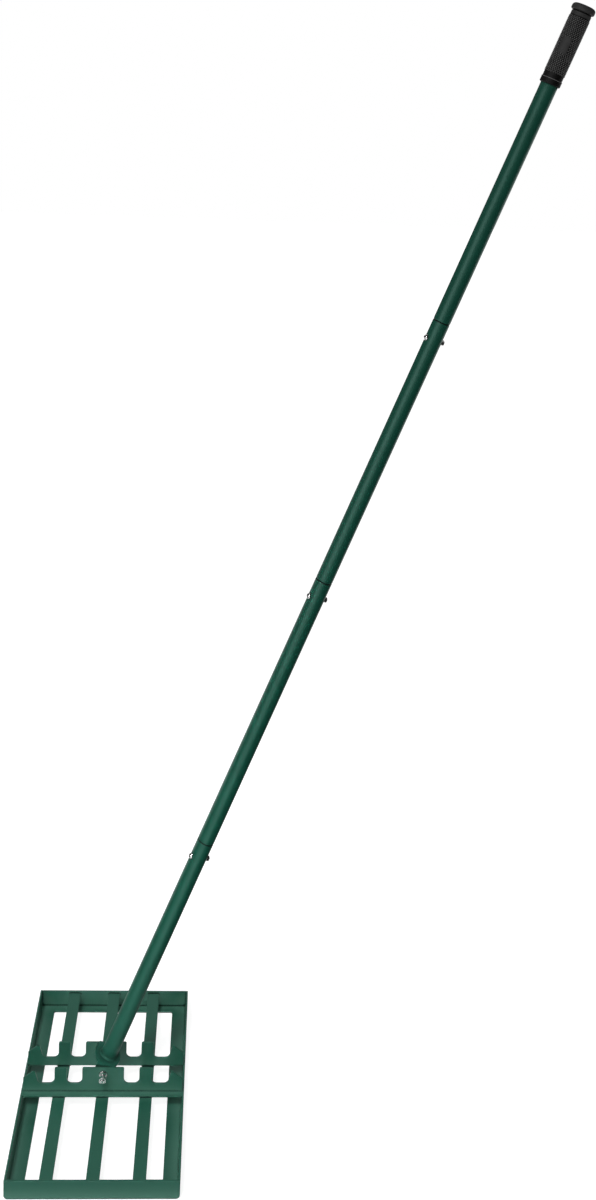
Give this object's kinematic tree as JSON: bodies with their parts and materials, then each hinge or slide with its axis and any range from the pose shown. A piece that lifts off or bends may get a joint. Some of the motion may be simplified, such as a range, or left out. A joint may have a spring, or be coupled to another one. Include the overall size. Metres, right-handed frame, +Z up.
{
  "type": "lawn leveling rake",
  "caption": "Lawn leveling rake: open steel drag pan with flat slats and notched cross bars, a hinged yoke, and a long bolted tube handle with a rubber grip.",
  "frame": {"origin": "on the ground, under the middle of the whole tool's box at rest; the head's centre is 267.6 mm from it towards -X", "axes": "+Z up; +X across the head, the way the handle leans and the head is pulled; +Y along the head, away from the front end plate"},
  "size_m": [0.7891, 0.432, 1.7322],
  "materials": {
    "green_paint": "satin powder coat",
    "zinc_plated_steel": "bright zinc plate",
    "grip_rubber": "matte moulded rubber with dimples"
  },
  "bodies": {
    "head": {"pan": "green_paint", "front_end_plate": "green_paint", "rear_end_plate": "green_paint", "left_slat": "green_paint", "centre_slat": "green_paint", "right_slat": "green_paint", "front_cross_bar": "green_paint", "rear_cross_bar": "green_paint", "pivot_bolt": "zinc_plated_steel", "pivot_nut": "zinc_plated_steel", "pivot_lock_nut": "zinc_plated_steel", "nut_washer": "zinc_plated_steel", "head_washer": "zinc_plated_steel", "front_wear_washer": "zinc_plated_steel", "rear_wear_washer": "zinc_plated_steel"},
    "handle": {"yoke": "green_paint", "lower_tube": "green_paint", "lower_middle_tube": "green_paint", "upper_middle_tube": "green_paint", "upper_tube": "green_paint", "grip": "grip_rubber", "lower_joint_bolt": "zinc_plated_steel", "middle_joint_bolt": "zinc_plated_steel", "upper_joint_bolt": "zinc_plated_steel", "lower_joint_nut": "zinc_plated_steel", "middle_joint_nut": "zinc_plated_steel", "upper_joint_nut": "zinc_plated_steel"}
  },
  "joints": [
    {"name": "handle_tilt", "type": "hinge", "parent": "head", "child": "handle", "pos_m": [-0.26755, 0, 0.0585], "axis": [0, 1, 0], "range_deg": [-109.15, 66.85]}
  ]
}
